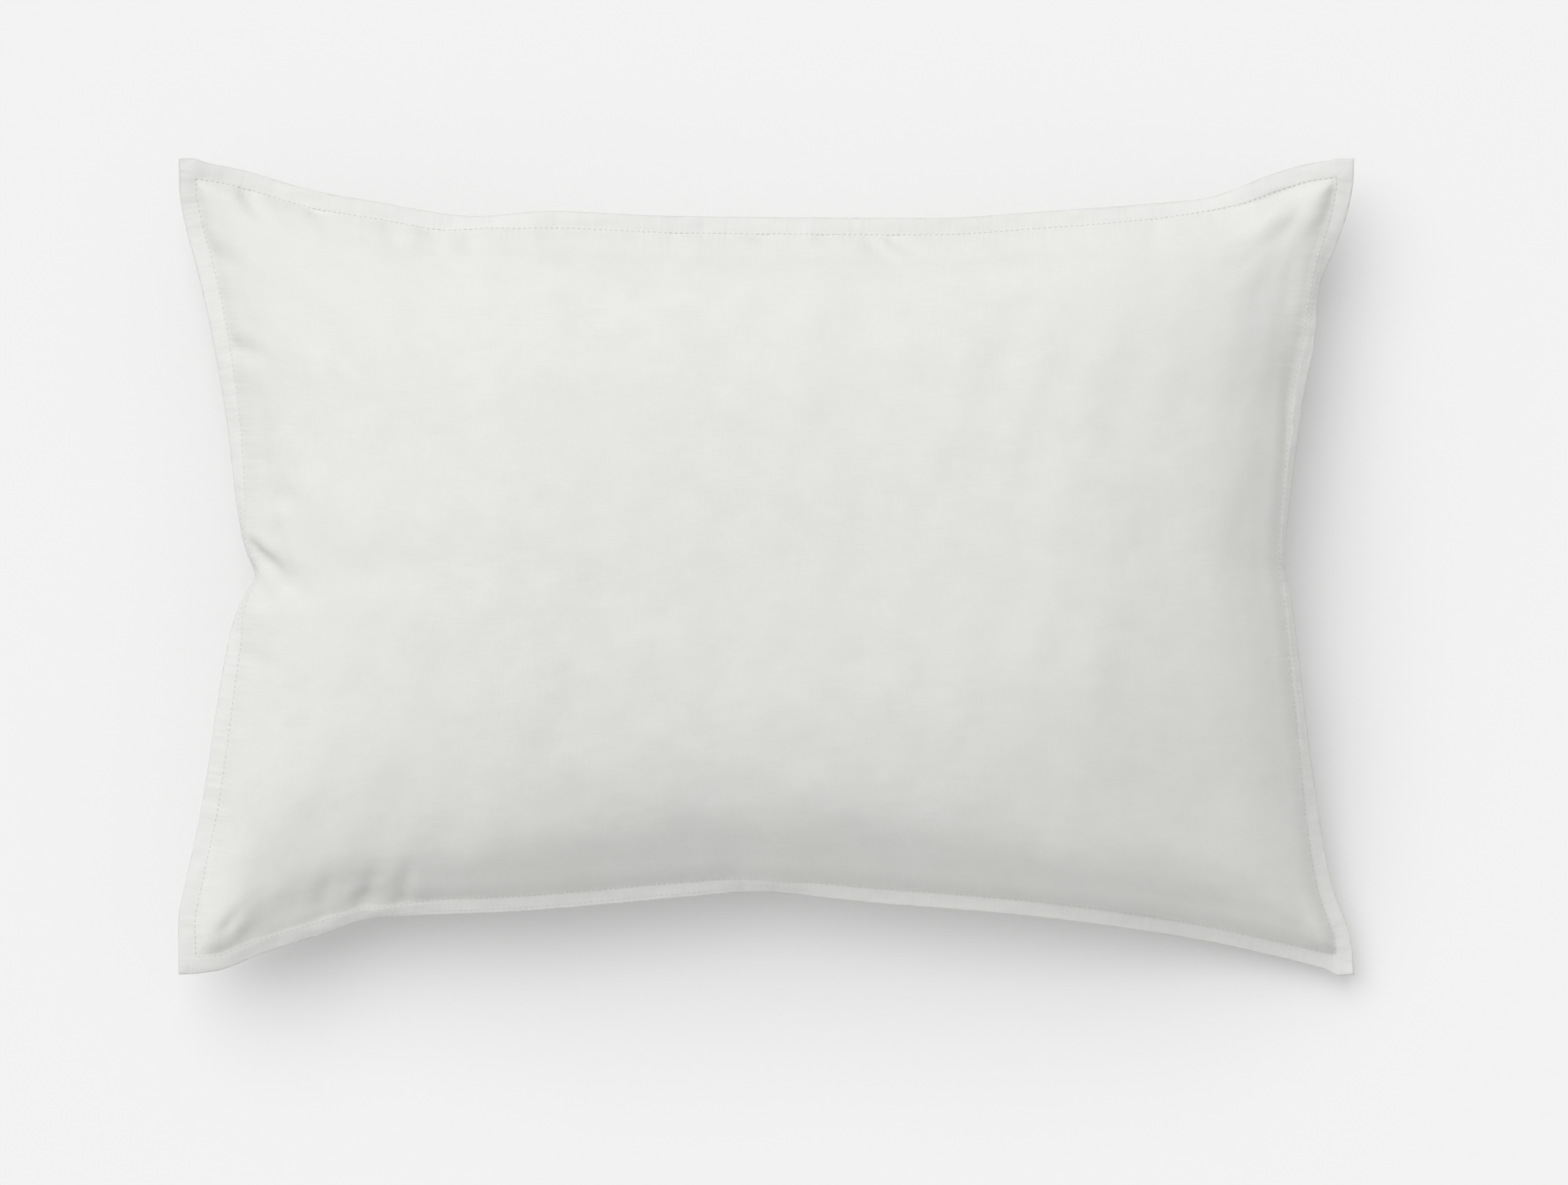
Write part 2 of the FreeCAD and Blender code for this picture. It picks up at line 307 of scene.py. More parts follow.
def simulate():
    """Fill the pillow.  Returns the top and the bottom panel as grids of points."""
    cloth, top, bottom = make_cloth()
    modifier = cloth.modifiers.new("Cloth", "CLOTH")
    settings = modifier.settings
    for name, value in CLOTH.items():
        setattr(settings, name, value)
    settings.vertex_group_mass = "pinned"
    settings.rest_shape_key = cloth.data.shape_keys.key_blocks["flat"]
    settings.use_pressure = True
    settings.uniform_pressure_force = PUFF_PRESSURE
    settings.vertex_group_pressure = "puffed"
    settings.effector_weights.gravity = 0
    modifier.collision_settings.use_collision = False
    modifier.point_cache.frame_start = 1
    modifier.point_cache.frame_end = CLOTH_FRAMES
    scene = bpy.context.scene
    for number in range(1, CLOTH_FRAMES + 1):
        scene.frame_set(number)
    points = read_points(cloth)
    scene.frame_set(1)
    bpy.data.objects.remove(cloth)
    return points[top], points[bottom]


# ---- mesh helpers

def grid_faces(numbers):
    """Quads over a grid of vertex numbers."""
    a, b = numbers[:-1, :-1], numbers[1:, :-1]
    c, d = numbers[1:, 1:], numbers[:-1, 1:]
    return np.stack([a, b, c, d], -1).reshape(-1, 4).tolist()


def linked(name, data):
    made = bpy.data.objects.new(name, data)
    bpy.context.scene.collection.objects.link(made)
    return made


def mesh_object(name, points, faces):
    mesh = bpy.data.meshes.new(name)
    mesh.from_pydata(np.asarray(points).tolist(), [], faces)
    mesh.update()
    return linked(name, mesh)


def read_vectors(source, kind):
    values = np.zeros(len(source) * 3)
    source.foreach_get(kind, values)
    return values.reshape(-1, 3)


def read_points(piece):
    """The piece's points with its modifiers applied."""
    shown = piece.evaluated_get(bpy.context.evaluated_depsgraph_get())
    points = read_vectors(shown.to_mesh().vertices, "co")
    shown.to_mesh_clear()
    return points


def apply_modifiers(piece):
    graph = bpy.context.evaluated_depsgraph_get()
    mesh = bpy.data.meshes.new_from_object(piece.evaluated_get(graph), depsgraph=graph)
    piece.modifiers.clear()
    old = piece.data
    piece.data = mesh
    bpy.data.meshes.remove(old)
    mesh.name = piece.name


def surface_tree(piece):
    """A search tree over the piece's faces."""
    return BVHTree.FromPolygons([v.co for v in piece.data.vertices],
                                [p.vertices for p in piece.data.polygons])


# ---- settling

RELAX_ROUNDS = 6
RELAX_SHARE = 0.5
RELAX_REACH = 20 * MM


def relax(points):
    """Even out the simulation's finest buckles, away from the flange."""
    for _ in range(RELAX_ROUNDS):
        mean = points.copy()
        mean[1:-1, 1:-1] = (points[:-2, 1:-1] + points[2:, 1:-1]
                            + points[1:-1, :-2] + points[1:-1, 2:]) / 4
        weight = RELAX_SHARE * smooth_step(inside_seam / RELAX_REACH)[..., None]
        points = points * (1 - weight) + mean * weight
    return points


def soft_limit(value, limit, softness):
    """value where it is well under limit, and rounded off to limit where it is over it."""
    over = (value - limit) / softness
    return limit - softness * np.logaddexp(0, -over)


# The crown and the belly, measured from the seam, before the filling settles under its own
# weight and the floor presses the belly flat.
FULL_CROWN = 102 * MM
CROWN_SOFTNESS = 12 * MM
CROWN_MARGIN = 1 * MM
PRESSED_DEPTH = 98 * MM
BELLY_SOFTNESS = 5 * MM
# Settling moves the cloth in full this far in from the seam.
SETTLE_REACH = 7 * MM
# How far the swollen sides lean in from the seam, as a share of their height over it.
SIDE_LEAN = {"back": 0.45, "front": 0.60, "left": 0.50, "right": 0.66}
LEAN_SOFTNESS = 5 * MM
LEAN_REACH = 10 * MM
# How far and how high up the swollen side overhangs its seam; this ends at OVERHANG_END of
# the side's length from its middle.
OVERHANG = {"back": 0, "front": 1.5 * MM, "left": 0, "right": 1.5 * MM}
OVERHANG_RISE = 7 * MM
OVERHANG_END = 0.40
OVERHANG_FADE = 0.15


def overhang(side, place, height):
    """How far out past its seam a side may reach at each height; place is -0.5 to 0.5 along it."""
    reach = OVERHANG[side] * smooth_step((OVERHANG_END - np.abs(place)) / OVERHANG_FADE)
    above = np.maximum(height - OVERHANG_RISE * smooth_step(reach / MM), 0)
    return reach - SIDE_LEAN[side] * above


def lean_sides(points):
    """Keep the swollen sides from standing upright over the flange."""
    target = flange_target()
    height = np.abs(points[..., 2] - flange_heights())
    x, y = points[..., 0], points[..., 1]
    seam = FLANGE_ROWS
    for side, sign, row in (("back", 1, target[:, LAST_Y - seam]), ("front", -1, target[:, seam])):
        limit = sign * np.interp(x, row[seam:-seam, 0], row[seam:-seam, 1])
        limit = limit + overhang(side, flat_x / FLAT_X, height)
        y = sign * soft_limit(sign * y, limit, LEAN_SOFTNESS)
    for side, sign, row in (("right", 1, target[LAST_X - seam]), ("left", -1, target[seam])):
        limit = sign * np.interp(y, row[seam:-seam, 1], row[seam:-seam, 0])
        limit = limit + overhang(side, flat_y / FLAT_Y, height)
        x = sign * soft_limit(sign * x, limit, LEAN_SOFTNESS)
    leaned = np.stack([x, y, points[..., 2]], -1)
    share = smooth_step(inside_seam / LEAN_REACH)[..., None]
    return np.where(is_flange[..., None], points, points * (1 - share) + leaned * share)


def settle(top, bottom):
    """Stand the pillow on the floor: the crown sinks, the underside is pressed flat."""
    top = lean_sides(relax(top))
    bottom = lean_sides(relax(bottom))
    body = smooth_step(inside_seam / SETTLE_REACH)
    crown = CROWN_Z - SEAM_Z - CROWN_MARGIN
    top[..., 2] *= 1 + (FULL_CROWN / top[..., 2].max() - 1) * body
    top[..., 2] = soft_limit(top[..., 2], crown + CROWN_SOFTNESS / 5, CROWN_SOFTNESS)
    top[..., 2] *= 1 + (crown / top[..., 2].max() - 1) * body
    fall = PRESSED_DEPTH / -bottom[..., 2].min()
    bottom[..., 2] *= 1 + (fall - 1) * body
    bottom[..., 2] = -soft_limit(-bottom[..., 2], SEAM_Z, BELLY_SOFTNESS)
    for panel in (top, bottom):
        panel[..., 2] += SEAM_Z
    return top, bottom


top_points, bottom_points = simulate()
top_points, bottom_points = settle(top_points, bottom_points)


# ---- panels

# Rows across a panel's edge, from the raw end of the turned allowance, round the fold, and in
# over the flange to just past the seam: (distance in from the edge, height over mid-flange).
TURNED_ROWS = [(8.0, 0.20), (0.3, 0.22), (-0.45, 0.62)]
FACE_ROWS = [(0.0, 1.02), (2.5, 1.12), (5.5, 1.12), (8.4, 0.95), (10.0, 0.55), (12.0, 0.75)]
INNER_LIFT = 0.5
TICKING = 0.3 * MM


def row_index(inset):
    """Grid position, in rows from the outer edge, of a distance in from the edge."""
    row = FLANGE / FLANGE_ROWS
    inset = inset * MM
    return inset / row if inset <= FLANGE else FLANGE_ROWS + (inset - FLANGE) / CELL


def edge_to_edge(last):
    """Rows across the whole panel: (grid position, height over mid-flange, outward, turned)."""
    edge = [(row_index(max(inset, 0)), lift, max(-inset, 0), True) for inset, lift in TURNED_ROWS]
    edge += [(row_index(inset), lift, 0, False) for inset, lift in FACE_ROWS]
    middle = [(float(k), INNER_LIFT, 0, False) for k in range(FLANGE_ROWS + 1, last - FLANGE_ROWS)]
    far = [(last - position, lift, out, turned) for position, lift, out, turned in edge[::-1]]
    return edge + middle + far


def sample(grid, i, j):
    """Points of a grid at fractional positions."""
    i0 = np.clip(np.floor(i).astype(int), 0, grid.shape[0] - 2)
    j0 = np.clip(np.floor(j).astype(int), 0, grid.shape[1] - 2)
    a, b = (i - i0)[..., None], (j - j0)[..., None]
    return ((1 - a) * (1 - b) * grid[i0, j0] + a * (1 - b) * grid[i0 + 1, j0]
            + (1 - a) * b * grid[i0, j0 + 1] + a * b * grid[i0 + 1, j0 + 1])


def panel_object(name, points, side):
    """One panel as a sheet, with its flange and the allowance that is turned in under it.

    side is +1 for the top panel and -1 for the bottom one.
    """
    rows_x = np.array(edge_to_edge(LAST_X), float)
    rows_y = np.array(edge_to_edge(LAST_Y), float)
    i, j = np.meshgrid(rows_x[:, 0], rows_y[:, 0], indexing="ij")
    made = sample(points, i, j)
    flat = sample(np.stack([flat_x, flat_y], -1), i, j)

    lift_x, lift_y = np.meshgrid(rows_x[:, 1], rows_y[:, 1], indexing="ij")
    turned_x, turned_y = np.meshgrid(rows_x[:, 3] > 0, rows_y[:, 3] > 0, indexing="ij")
    inset_x = np.minimum(i, LAST_X - i)
    inset_y = np.minimum(j, LAST_Y - j)
    lift = np.select([turned_x & turned_y, turned_x, turned_y, inset_x < inset_y],
                     [np.minimum(lift_x, lift_y), lift_x, lift_y, lift_x], lift_y)
    made[..., 2] += side * lift * MM

    out_x, out_y = np.meshgrid(rows_x[:, 2], rows_y[:, 2], indexing="ij")
    made[..., 0] += np.sign(flat[..., 0]) * out_x * MM
    made[..., 1] += np.sign(flat[..., 1]) * out_y * MM
    turned_in = np.where(turned_x | turned_y, -FLANGE, 0)
    flat_out = flat - np.sign(flat) * turned_in[..., None]

    numbers = np.arange(i.size).reshape(i.shape)
    faces = grid_faces(numbers)
    if side < 0:
        faces = [face[::-1] for face in faces]
    panel = mesh_object(name, made.reshape(-1, 3), faces)
    flat_layer = panel.data.attributes.new("flat", "FLOAT_VECTOR", "POINT")
    flat_3d = np.concatenate([flat_out, turned_in[..., None]], -1)
    flat_layer.data.foreach_set("vector", flat_3d.astype(np.float32).ravel())
    rounded = panel.modifiers.new("Rounded", "SUBSURF")
    rounded.levels = 1
    rounded.render_levels = 1
    apply_modifiers(panel)
    return panel


def finish_panel(panel):
    """Give the sheet its thickness and lay the weave's coordinates on it."""
    thick = panel.modifiers.new("Thickness", "SOLIDIFY")
    thick.thickness = TICKING
    thick.offset = -1
    thick.use_rim = True
    apply_modifiers(panel)
    mesh = panel.data
    flat = read_vectors(mesh.attributes["flat"].data, "vector")
    uv = mesh.uv_layers.new(name="flat_cloth")
    corners = np.zeros(len(mesh.loops), int)
    mesh.loops.foreach_get("vertex_index", corners)
    uv.data.foreach_set("uv", flat[corners, :2].astype(np.float32).ravel())
    mesh.attributes.remove(mesh.attributes["flat"])
    mesh.shade_smooth()


# ---- creases and lumps

# Each crease of the top panel, in millimetres: points along it, depth and half width.
CREASES = [
    # The sharp fold that starts at the notch in the left side.
    ([(-304, 11), (-297, 5), (-289, 0), (-279, -8)], 6.5, 3.9),
    ([(-303, 7), (-300, 1), (-297, -5)], 3.4, 3.0),
    ([(-282, -7), (-270, -15), (-252, -20)], 1.6, 7.0),
    ([(-300, -14), (-287, -22), (-270, -26)], 1.2, 6.0),
    ([(-288, 20), (-279, 17)], 1.2, 5.0),
    # Puckers along the left side.
    ([(-318, 131), (-300, 124), (-284, 113)], 2.2, 5.0),
    ([(-288, 43), (-276, 38), (-262, 31)], 1.0, 6.0),
    ([(-328, 186), (-315, 178), (-300, 174)], 1.4, 5.5),
    ([(-303, 62), (-290, 61), (-276, 57)], 1.0, 6.0),
    ([(-306, -55), (-290, -57), (-275, -62)], 1.0, 5.0),
    # The top left corner.
    ([(-311, 224), (-303, 212), (-295, 203), (-288, 195)], 2.6, 4.2),
    ([(-270, 214), (-262, 206), (-252, 198)], 1.8, 4.5),
    # Below the back seam.
    ([(-222, 200), (-217, 188), (-214, 176)], 1.2, 5.0),
    ([(-198, 199), (-196, 184)], 1.3, 5.0),
    ([(-176, 196), (-172, 182), (-166, 172)], 1.2, 5.0),
    ([(-128, 198), (-130, 184)], 1.1, 6.0),
    ([(-54, 196), (-57, 182)], 1.1, 6.0),
    ([(-4, 197), (-1, 181)], 1.2, 5.5),
    ([(34, 196), (30, 183)], 1.1, 5.0),
    ([(72, 194), (83, 186), (97, 179)], 2.2, 4.0),
    ([(60, 192), (70, 182), (84, 174)], 1.4, 4.0),
    ([(232, 205), (226, 192), (216, 180)], 1.3, 6.0),
    # The bottom left corner.
    ([(-262, -205), (-258, -190), (-250, -172)], 1.8, 4.6),
    ([(-240, -201), (-232, -188), (-226, -170)], 3.0, 3.4),
    ([(-238, -199), (-224, -193), (-210, -188)], 2.2, 3.2),
    ([(-216, -199), (-210, -182), (-204, -164)], 2.6, 3.8),
    ([(-321, -217), (-312, -206), (-300, -198)], 1.6, 3.6),
    ([(-308, -219), (-298, -208)], 1.4, 3.4),
    # Ridges that fan out from the top right corner.
    ([(322, 222), (300, 196), (270, 172), (236, 156)], 1.3, 7.0),
    ([(318, 212), (304, 184), (290, 158), (280, 132)], 1.3, 6.5),
    ([(310, 226), (280, 206), (248, 192)], 1.4, 6.0),
    # The bottom right corner.
    ([(322, -216), (306, -196), (284, -180)], 1.4, 6.0),
    ([(300, -208), (286, -192), (262, -180)], 1.0, 5.5),
]
# Broad hollows where the filling is thin: by the top right and the bottom left corner.
HOLLOWS = [
    ([(300, 208), (298, 150), (290, 40)], 6.5, 36.0),
    ([(-308, -196), (-256, -184), (-170, -178)], 5.5, 34.0),
]
# The raised lips beside a crease: their height as a share of its depth, and how far out and
# how wide they are, in half widths.
LIP, LIP_OUT, LIP_WIDTH = 0.18, 2.0, 0.9
# Close to the seam neither is deeper than this times the distance from it, and this more.
CREASE_ROOM, CREASE_ROOM_AT_SEAM = 1.2, 1.0 * MM
HOLLOW_ROOM, HOLLOW_ROOM_AT_SEAM = 0.55, 0.6 * MM
# The dip just inside the seam on the right and at the front: its depth, and (in millimetres
# along the side) where it sets in and over what length, and where and how it dies away.
GROOVE_INSIDE = 1.5 * MM
GROOVE_REACH = 2.4 * MM
RIGHT_GROOVE, RIGHT_SPAN = 2.6 * MM, ((-135, 50), (60, 110))
FRONT_GROOVE, FRONT_SPAN = 1.4 * MM, ((-290, 80), (240, 70))
# Fine and broad lumps of the filling, the flange's ripple, and how each fades at the seam.
FINE_LUMPS, BROAD_LUMPS, RIPPLE = 0.05 * MM, 0.25 * MM, 0.18 * MM
LUMPS_FADE, RIPPLE_FADE = 8 * MM, 4 * MM
WAVES = 36
# The floor irons out the underside below the first height; no point is below the second.
IRONED_BELOW, LOWEST = 10 * MM, 0.05 * MM


def distance_to_path(points, path):
    """Distance of each point from a path, and how far along the path it is, from 0 to 1."""
    path = np.array(path, float) * MM
    spans = np.linalg.norm(np.diff(path, axis=0), axis=1)
    before = np.concatenate([[0], np.cumsum(spans)])
    best = np.full(len(points), 1e9)
    along = np.zeros(len(points))
    for start, end, span, done in zip(path, path[1:], spans, before):
        t = np.clip((points - start) @ (end - start) / span ** 2, 0, 1)
        gap = np.linalg.norm(points - start - t[:, None] * (end - start), axis=1)
        nearer = gap < best
        best = np.where(nearer, gap, best)
        along = np.where(nearer, (done + t * span) / before[-1], along)
    return best, along


def crease_depth(plan, creases):
    """How deep the creases press into the top panel at each point, lips counted negative.

    A crease is half deep at its first point, deepest a tenth of the way along, and runs out.
    """
    depth = np.zeros(len(plan))
    for path, deepest, half_width in creases:
        gap, along = distance_to_path(plan, path)
        taper = smooth_step(0.5 + 5 * along) * (1 - smooth_step((along - 0.1) / 0.9))
        u = gap / (half_width * MM)
        lips = LIP * np.exp(-((u - LIP_OUT) / LIP_WIDTH) ** 2)
        depth += deepest * MM * taper * (np.exp(-u * u) - lips)
    return depth


def within(value, span):
    """1 within a span and 0 outside it, with a gentle rise and fall at its ends."""
    (rise, run_in), (fall, run_out) = span
    return smooth_step((value - rise) / run_in) * (1 - smooth_step((value - fall) / run_out))


def seam_groove(flat):
    """How deep the cloth dips between the swollen side and the flange, right and front."""
    x, y = flat[:, 0] / MM, flat[:, 1] / MM
    right = within(y, RIGHT_SPAN) * (x > 0)
    front = within(x, FRONT_SPAN) * (y < 0)
    past_x = FLAT_X / 2 - FLANGE - np.abs(flat[:, 0]) - GROOVE_INSIDE
    past_y = FLAT_Y / 2 - FLANGE - np.abs(flat[:, 1]) - GROOVE_INSIDE
    return (RIGHT_GROOVE * right * np.exp(-(past_x / GROOVE_REACH) ** 2)
            + FRONT_GROOVE * front * np.exp(-(past_y / GROOVE_REACH) ** 2))


def random_waves(plan, seed, shortest, longest):
    """A smooth random field of about unit size, from waves of seeded lengths and directions."""
    random = np.random.default_rng(seed)
    field = np.zeros(len(plan))
    for _ in range(WAVES):
        length = math.exp(random.uniform(math.log(shortest), math.log(longest)))
        turn = random.uniform(0, math.pi)
        phase = random.uniform(0, 2 * math.pi)
        along = plan @ (math.cos(turn), math.sin(turn))
        field += np.cos(2 * math.pi * along / length + phase)
    return field * math.sqrt(2 / WAVES)


def shape_surface(panel, side):
    """Press in the creases and the groove, raise the filling's lumps and ripple the flange."""
    mesh = panel.data
    points = read_vectors(mesh.vertices, "co")
    normals = read_vectors(mesh.vertices, "normal")
    flat = read_vectors(mesh.attributes["flat"].data, "vector")
    inset = np.minimum(FLAT_X / 2 - np.abs(flat[:, 0]), FLAT_Y / 2 - np.abs(flat[:, 1]))
    turned = flat[:, 2] < 0
    body = smooth_step((inset - FLANGE) / LUMPS_FADE) * ~turned
    flange = (1 - smooth_step((inset - FLANGE) / RIPPLE_FADE)) * ~turned

    raised = 1.0 if side > 0 else 1 - smooth_step((IRONED_BELOW - points[:, 2]) / IRONED_BELOW)
    lumps = (FINE_LUMPS * random_waves(flat[:, :2], 11, 11 * MM, 26 * MM)
             + BROAD_LUMPS * random_waves(flat[:, :2], 12, 35 * MM, 90 * MM))
    ripple = RIPPLE * random_waves(flat[:, :2], 13, 7 * MM, 24 * MM)
    move = body * lumps * raised + flange * ripple
    if side > 0:
        inside = np.maximum(inset - FLANGE, 0) * ~turned
        room = CREASE_ROOM * inside + CREASE_ROOM_AT_SEAM * (inside > 0)
        move -= np.minimum(crease_depth(points[:, :2], CREASES), room)
        room = HOLLOW_ROOM * inside + HOLLOW_ROOM_AT_SEAM * (inside > 0)
        move -= np.minimum(crease_depth(points[:, :2], HOLLOWS), room)
    points += normals * move[:, None]
    points[:, 2] -= seam_groove(flat[:, :2]) * ~turned * (inset > FLANGE - 1 * MM)
    if side < 0:
        points[:, 2] = np.maximum(points[:, 2], LOWEST)
    mesh.vertices.foreach_set("co", points.astype(np.float32).ravel())
    mesh.update()


top_panel = panel_object("top_panel_cloth", top_points, 1)
bottom_panel = panel_object("bottom_panel_cloth", bottom_points, -1)
shape_surface(top_panel, 1)
shape_surface(bottom_panel, -1)
finish_panel(top_panel)
finish_panel(bottom_panel)
for panel, node in ((top_panel, "top_panel"), (bottom_panel, "bottom_panel")):
    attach(panel, "root")
    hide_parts(node)


# ---- stitching

# How far in from the flange's edge each row runs, in millimetres.
TOPSTITCH_IN, CLOSING_IN, JOINING_IN, OVERLOCK_IN = 9.7, 2.4, 0.9, 6.0
STITCH_PITCH, STITCH_RADIUS = 3.2 * MM, 0.27 * MM
# Where a stitch starts looking for its panel's face, over mid-flange.
FACE_REACH = 4 * MM
JOINING_PITCH, JOINING_SWING = 3.0 * MM, 0.1 * MM
OVERLOCK_PITCH, OVERLOCK_SWING = 1.6 * MM, 3.0 * MM
HIDDEN_RADIUS = 0.12 * MM


def flange_line(points, inset):
    """A closed line round the middle of the flange, at a distance in from its edge."""
    k = row_index(inset)
    x, y = (np.arange(math.ceil(k), last - math.ceil(k) + 1.0) for last in (LAST_X, LAST_Y))
    i = np.concatenate([x, np.full(len(y), LAST_X - k), x[::-1], np.full(len(y), k)])
    j = np.concatenate([np.full(len(x), k), y, np.full(len(x), LAST_Y - k), y[::-1]])
    return sample(points, i, j)


def walk(line, pitch):
    """Points at even steps along a line, and the line's direction at each."""
    steps = np.diff(line, axis=0)
    length = np.concatenate([[0], np.cumsum(np.linalg.norm(steps, axis=1))])
    count = int(length[-1] / pitch)
    wanted = (np.arange(count) + 0.5) * length[-1] / count
    at = np.stack([np.interp(wanted, length, line[:, axis]) for axis in range(3)], 1)
    k = np.clip(np.searchsorted(length, wanted) - 1, 0, len(steps) - 1)
    return at, steps[k] / np.linalg.norm(steps[k], axis=1)[:, None]


def tube(path, radii, sides=6):
    """Points and faces of a closed tube along a short path."""
    path = np.asarray(path)
    tangent = np.gradient(path, axis=0)
    tangent /= np.linalg.norm(tangent, axis=1)[:, None]
    across = np.cross(tangent, (0, 0, 1))
    across /= np.linalg.norm(across, axis=1)[:, None]
    over = np.cross(across, tangent)
    turns = np.arange(sides) * 2 * math.pi / sides
    ring = (np.cos(turns)[None, :, None] * across[:, None]
            + np.sin(turns)[None, :, None] * over[:, None])
    points = path[:, None] + ring * np.asarray(radii)[:, None, None]
    numbers = np.arange(len(path) * sides).reshape(len(path), sides)
    wrapped = np.concatenate([numbers, numbers[:, :1]], axis=1)
    faces = grid_faces(wrapped.T)
    faces += [numbers[0].tolist(), numbers[-1][::-1].tolist()]
    return points.reshape(-1, 3), faces


def joined_tubes(name, tubes):
    points, faces, start = [], [], 0
    for tube_points, tube_faces in tubes:
        points.append(tube_points)
        faces += [[start + k for k in face] for face in tube_faces]
        start += len(tube_points)
    made = mesh_object(name, np.concatenate(points), faces)
    made.data.shade_smooth()
    return made


def stitch(middle, tangent, up, length, radius):
    """One stitch: a short thread that comes out of the cloth, lies on it and goes back in."""
    reach = np.linspace(-0.5, 0.5, 6)
    arch = np.array([-1.6, 0.35, 0.62, 0.62, 0.35, -1.6]) * radius
    path = middle + reach[:, None] * length * tangent + arch[:, None] * up
    return tube(path, radius * np.array([0.7, 1.0, 1.05, 1.05, 1.0, 0.7]))


def surface_stitches(name, line, panel, side):
    """A row of stitches that lie on a panel's outer face, along a line."""
    tree = surface_tree(panel)
    random = np.random.default_rng(len(line))
    made = []
    for middle, tangent in zip(*walk(line, STITCH_PITCH)):
        start = Vector(middle) + Vector((0, 0, side * FACE_REACH))
        found, normal = tree.ray_cast(start, Vector((0, 0, -side)), 3 * FACE_REACH)[:2]
        if found is None:
            continue
        up = np.array(normal) * (1 if normal.z * side > 0 else -1)
        ahead = tangent - up * (tangent @ up)
        ahead = ahead / np.linalg.norm(ahead)
        sideways = np.cross(up, ahead)
        slant = ahead + sideways * random.normal(0.05, 0.03)
        at = np.array(found) + sideways * random.normal(0, 0.08 * MM)
        made.append(stitch(at, slant / np.linalg.norm(slant), up,
                           STITCH_PITCH * random.uniform(0.80, 0.88), STITCH_RADIUS))
    return joined_tubes(name, made)


def hidden_zigzag(name, line, pitch, swing):
    """A thread inside the flange that swings from side to side along a line."""
    at, ahead = walk(line, pitch)
    sideways = np.cross(ahead, (0, 0, 1))
    swings = np.where(np.arange(len(at)) % 2, 0.5, -0.5)[:, None] * swing * sideways
    path = at + swings
    run = 40
    pieces = [path[k:k + run + 1] for k in range(0, len(path) - 1, run)]
    return joined_tubes(name, [tube(piece, np.full(len(piece), HIDDEN_RADIUS), 5)
                               for piece in pieces])


def closing_line(points):
    """The row that shuts the filling opening: part of the front side, close to its edge."""
    low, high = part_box("opening_closing_thread")
    line = flange_line(points, CLOSING_IN)
    on_front = line[:, 1] < -0.7 * HALF_Y
    return line[on_front & (line[:, 0] > low.x) & (line[:, 0] < high.x)]


def as_thread(piece, node):
    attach(piece, "root")
    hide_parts(node)
    return piece


threads = [
    as_thread(surface_stitches("topstitch_needle", flange_line(top_points, TOPSTITCH_IN),
                               top_panel, 1), "topstitch_needle_thread"),
    as_thread(surface_stitches("topstitch_bobbin", flange_line(bottom_points, TOPSTITCH_IN),
                               bottom_panel, -1), "topstitch_bobbin_thread"),
    as_thread(surface_stitches("opening_closing_row", closing_line(top_points),
                               top_panel, 1), "opening_closing_thread"),
    as_thread(hidden_zigzag("joining_seam", flange_line(top_points, JOINING_IN),
                            JOINING_PITCH, JOINING_SWING), "joining_seam_thread"),
    as_thread(hidden_zigzag("overlocking", flange_line(top_points, OVERLOCK_IN),
                            OVERLOCK_PITCH, OVERLOCK_SWING), "overlock_thread"),
]


# ---- label and filling

# The label starts this far under the seam, and keeps this clear of the side it hangs against.
LABEL_START = 3.4 * MM
LABEL_CLEAR = 0.45 * MM
LABEL_THICKNESS = 0.12 * MM
# The gap between its two layers, the curl of its fold, and the wave across its width.
LABEL_GAP, LABEL_CURL, LABEL_WAVE = 0.5 * MM, 1.6 * MM, 0.5 * MM
LABEL_COLUMNS, LABEL_ROWS, LABEL_STEPS = 17, 15, 34
LABEL_SEARCH = 40 * MM


def label_hang(tree, y, down):
    """Where the label hangs at one y: the seam's x, and points further out and down from it."""
    seam_x, seam_z, edge_x, edge_z = (
        np.interp(y, row[:, 1], row[:, axis])
        for row in (bottom_points[LAST_X - FLANGE_ROWS], bottom_points[LAST_X]) for axis in (0, 2))
    heights = seam_z - LABEL_START - down
    across = []
    for z in heights:
        under_flange = (edge_x - seam_x) * (seam_z - z) / (seam_z - edge_z)
        start = seam_x + (0.5 * under_flange if z > edge_z else 2 * (edge_x - seam_x))
        found = tree.ray_cast(Vector((start, y, z)), Vector((-1, 0, 0)), LABEL_SEARCH)[0]
        side = found.x if found is not None else seam_x
        across.append(max(side + LABEL_CLEAR - seam_x, 0))
    return seam_x, across, heights


